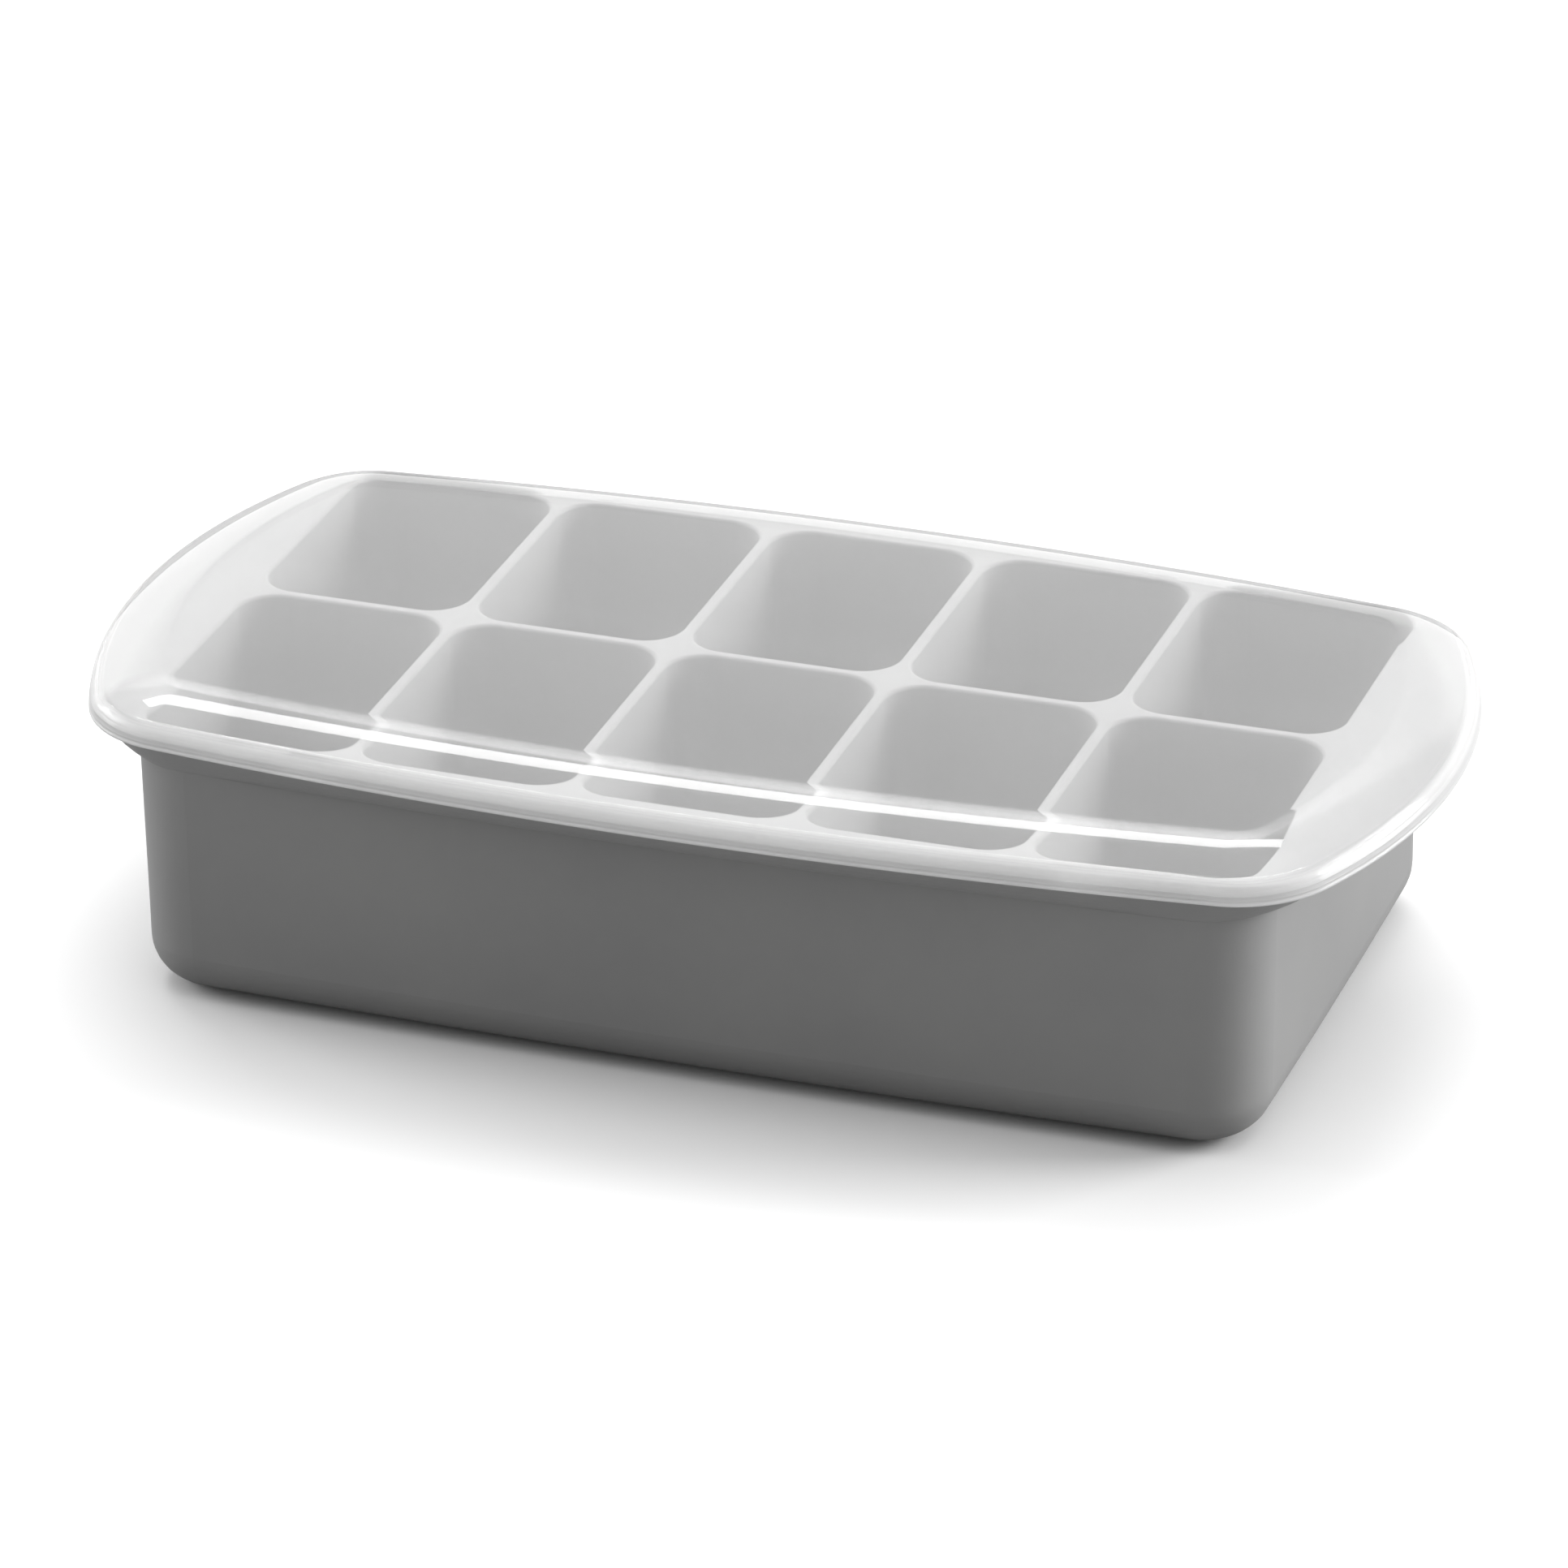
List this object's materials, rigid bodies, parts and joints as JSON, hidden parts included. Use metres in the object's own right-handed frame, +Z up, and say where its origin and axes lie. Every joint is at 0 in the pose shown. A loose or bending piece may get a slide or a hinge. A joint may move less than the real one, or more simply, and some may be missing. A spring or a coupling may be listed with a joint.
{
  "type": "baby food freezer tray",
  "caption": "Soft silicone freezer tray with two rows of deep square-cornered pockets, a rim widening to end grips, and a clear press-on plastic lid that lifts off.",
  "frame": {"origin": "centre of the tray's footprint, on the flat floor it stands on", "axes": "+X along the long side, +Y across to the back row of pockets, +Z up out of the pockets"},
  "size_m": [0.2268, 0.1178, 0.0527],
  "materials": {
    "tray_silicone": "satin",
    "lid_plastic": "translucent, slightly frosted"
  },
  "bodies": {
    "tray_body": {"tray": "tray_silicone"},
    "lid_body": {"lid": "lid_plastic"}
  },
  "joints": [
    {"name": "lid_lift", "type": "slide", "parent": "tray_body", "child": "lid_body", "axis": [0, 0, 1], "range_m": [0, 0.08]}
  ]
}
